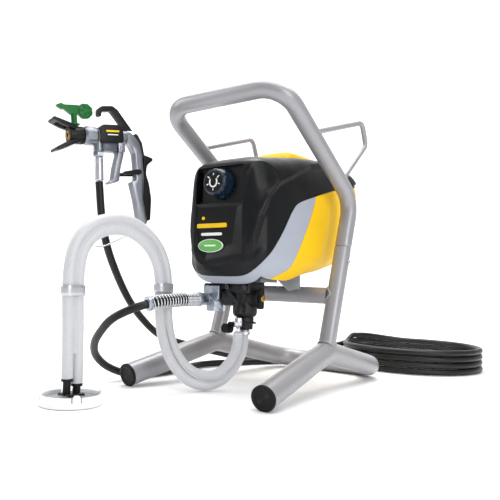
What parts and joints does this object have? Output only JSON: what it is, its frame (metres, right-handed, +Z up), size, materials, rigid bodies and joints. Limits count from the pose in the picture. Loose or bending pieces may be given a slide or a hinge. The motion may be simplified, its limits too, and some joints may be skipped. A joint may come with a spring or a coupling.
{
  "type": "airless paint sprayer",
  "caption": "Electric airless paint sprayer on a bent tube stand, with a suction set, a long coiled hose and a trigger spray gun held up on the hose.",
  "frame": {"origin": "on the floor, under the middle of everything but the free hoses", "axes": "+Z up, -Y towards the machine's front (knob and suction side), +X to its right-hand side seen from behind the front"},
  "size_m": [0.4374, 0.9378, 0.4551],
  "materials": {
    "silver_paint": "satin silver powder coat",
    "black_rubber": "matt",
    "charcoal_plastic": "fine grain",
    "grey_plastic": "satin",
    "yellow_plastic": "satin gloss",
    "navy_plastic": "satin",
    "white_plastic": "satin",
    "green_plastic": "satin gloss",
    "clear_tube": "smooth, slightly milky",
    "zinc_plate": "zinc plated",
    "polished_chrome": "polished",
    "brass": "turned",
    "cast_alloy": "satin, bead blasted",
    "dark_steel": "oiled",
    "copper_winding": "varnished copper",
    "board_green": "lacquered",
    "painted_casting": "black paint over cast metal",
    "grey_paint": "satin grey paint"
  },
  "bodies": {
    "machine": {"right_foot_cap": "black_rubber", "left_foot_cap": "black_rubber", "foot_tube": "silver_paint", "handle_bow": "silver_paint", "crossbar": "silver_paint", "mount_bracket": "grey_paint", "right_leg": "silver_paint", "right_hose_hook": "silver_paint", "left_leg": "silver_paint", "left_hose_hook": "silver_paint", "front_cover": "charcoal_plastic", "middle_shell": "grey_plastic", "rear_cover": "yellow_plastic", "power_switch_frame": "black_rubber", "mains_inlet_gland": "black_rubber", "pressure_control": "charcoal_plastic", "motor_stator": "dark_steel", "drive_casting": "cast_alloy", "circuit_board": "board_green", "pump_block": "painted_casting", "inlet_valve_housing": "painted_casting", "outlet_block": "zinc_plate", "hose_nut": "zinc_plate", "spring_guard": "polished_chrome", "return_fitting": "polished_chrome", "suction_tube": "clear_tube", "return_tube": "clear_tube", "strainer_ring": "white_plastic", "strainer_screen": "dark_steel", "strainer_tube_clip": "polished_chrome", "pump_tube_clip": "polished_chrome", "suction_hose_clamp": "polished_chrome", "hose_pump_side": "black_rubber", "hose_coil": "black_rubber", "hose_gun_side": "black_rubber", "gun_casting": "cast_alloy", "gun_cover": "charcoal_plastic", "gun_grip_cover": "black_rubber", "hose_holder": "polished_chrome", "trigger_pin": "zinc_plate", "gun_swivel_nut": "zinc_plate", "hose_ferrule": "polished_chrome"},
    "pressure_knob": {"pressure_knob": "navy_plastic"},
    "power_rocker": {"power_switch_rocker": "charcoal_plastic"},
    "inlet_pusher": {"inlet_pusher": "black_rubber"},
    "relief_valve": {"relief_knob": "black_rubber", "relief_valve_stem": "brass"},
    "left_button": {"left_snap_button": "zinc_plate"},
    "right_button": {"right_snap_button": "zinc_plate"},
    "gun_trigger": {"gun_trigger": "cast_alloy"},
    "trigger_lock": {"trigger_lock": "black_rubber"},
    "retaining_nut": {"retaining_nut": "cast_alloy"},
    "tip_guard": {"tip_guard": "charcoal_plastic"},
    "spray_tip": {"spray_tip": "green_plastic"},
    "drive_gear": {"drive_gear": "dark_steel"},
    "armature": {"motor_armature": "copper_winding", "cooling_fan": "charcoal_plastic", "drive_pinion": "dark_steel"},
    "piston": {"pump_piston": "polished_chrome", "drive_yoke": "dark_steel"}
  },
  "joints": [
    {"name": "pressure_turn", "type": "hinge", "parent": "machine", "child": "pressure_knob", "pos_m": [0.02723, -0.07082, 0.313], "axis": [0, -1, 0], "range_deg": [0, 270]},
    {"name": "power_rock", "type": "hinge", "parent": "machine", "child": "power_rocker", "pos_m": [0.01063, 0.25118, 0.32], "axis": [1, 0, 0], "range_deg": [0, 14]},
    {"name": "inlet_push", "type": "slide", "parent": "machine", "child": "inlet_pusher", "axis": [1, 0, 0], "range_m": [0, 0.0025], "stiffness_N_per_m": 600},
    {"name": "relief_turn", "type": "hinge", "parent": "machine", "child": "relief_valve", "pos_m": [0.06663, -0.01782, 0.141], "axis": [1, 0, 0], "range_deg": [0, 90]},
    {"name": "left_button_press", "type": "slide", "parent": "machine", "child": "left_button", "axis": [1, 0, 0], "range_m": [0, 0.004], "stiffness_N_per_m": 800},
    {"name": "right_button_press", "type": "slide", "parent": "machine", "child": "right_button", "axis": [-1, 0, 0], "range_m": [0, 0.004], "stiffness_N_per_m": 800},
    {"name": "trigger_pull", "type": "hinge", "parent": "machine", "child": "gun_trigger", "pos_m": [-0.12824, -0.13253, 0.36727], "axis": [0.9483, -0.3173, 0], "range_deg": [0, 15], "stiffness_Nm_per_rad": 0.5},
    {"name": "trigger_lock_turn", "type": "hinge", "parent": "machine", "child": "trigger_lock", "pos_m": [-0.11831, -0.10284, 0.33537], "axis": [0.9483, -0.3173, 0], "range_deg": [0, 80]},
    {"name": "retaining_nut_turn", "type": "hinge", "parent": "machine", "child": "retaining_nut", "pos_m": [-0.14308, -0.17688, 0.38166], "axis": [-0.3142, -0.9391, -0.1392], "continuous": true},
    {"name": "tip_guard_turn", "type": "hinge", "parent": "machine", "child": "tip_guard", "pos_m": [-0.14873, -0.19378, 0.37916], "axis": [-0.3142, -0.9391, -0.1392], "range_deg": [-90, 90]},
    {"name": "spray_tip_turn", "type": "hinge", "parent": "tip_guard", "child": "spray_tip", "pos_m": [-0.15112, -0.20093, 0.39325], "axis": [-0.0442, -0.132, 0.9903], "range_deg": [0, 180]},
    {"name": "gear_spin", "type": "hinge", "parent": "machine", "child": "drive_gear", "pos_m": [0.04463, 0.02418, 0.24825], "axis": [0, 1, 0], "continuous": true},
    {"name": "armature_spin", "type": "hinge", "parent": "machine", "child": "armature", "pos_m": [0.04463, 0.11918, 0.292], "axis": [0, 1, 0], "continuous": true},
    {"name": "piston_stroke", "type": "slide", "parent": "machine", "child": "piston", "axis": [0, 0, 1], "range_m": [-0.006, 0.006]}
  ],
  "couplings": [
    {"joint": "armature_spin", "follows": "gear_spin", "ratio": -4}
  ]
}
